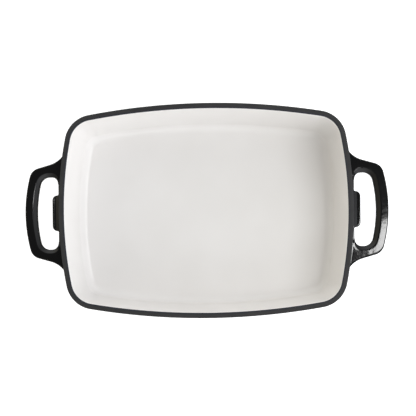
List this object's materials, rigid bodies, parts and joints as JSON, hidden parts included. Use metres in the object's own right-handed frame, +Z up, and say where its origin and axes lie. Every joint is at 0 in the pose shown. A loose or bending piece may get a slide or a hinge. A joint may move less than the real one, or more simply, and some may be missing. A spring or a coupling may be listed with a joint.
{
  "type": "baking dish",
  "caption": "Rectangular enamelled cast iron baking dish with bowed sides, a flat matte rim, loop handles at the short ends and a tab on each end wall.",
  "frame": {"origin": "middle of the base, on the table", "axes": "+X along the dish through both handles, +Y across it, +Z up out of the dish"},
  "size_m": [0.392, 0.2294, 0.06],
  "materials": {
    "iron": "sand cast, ground flat at the foot band, otherwise under enamel",
    "cream_enamel": "gloss cream enamel fired onto the iron",
    "rim_enamel": "matte charcoal ground coat",
    "black_enamel": "gloss black enamel fired onto the iron"
  },
  "bodies": {
    "root": {"tub_casting": "iron", "left_handle_casting": "iron", "right_handle_casting": "iron", "left_lug_casting": "iron", "right_lug_casting": "iron", "inside_enamel": "cream_enamel", "rim_enamel": "rim_enamel", "outside_enamel": "black_enamel", "base_enamel": "black_enamel", "left_handle_enamel": "black_enamel", "right_handle_enamel": "black_enamel", "left_lug_enamel": "black_enamel", "right_lug_enamel": "black_enamel"}
  },
  "joints": []
}
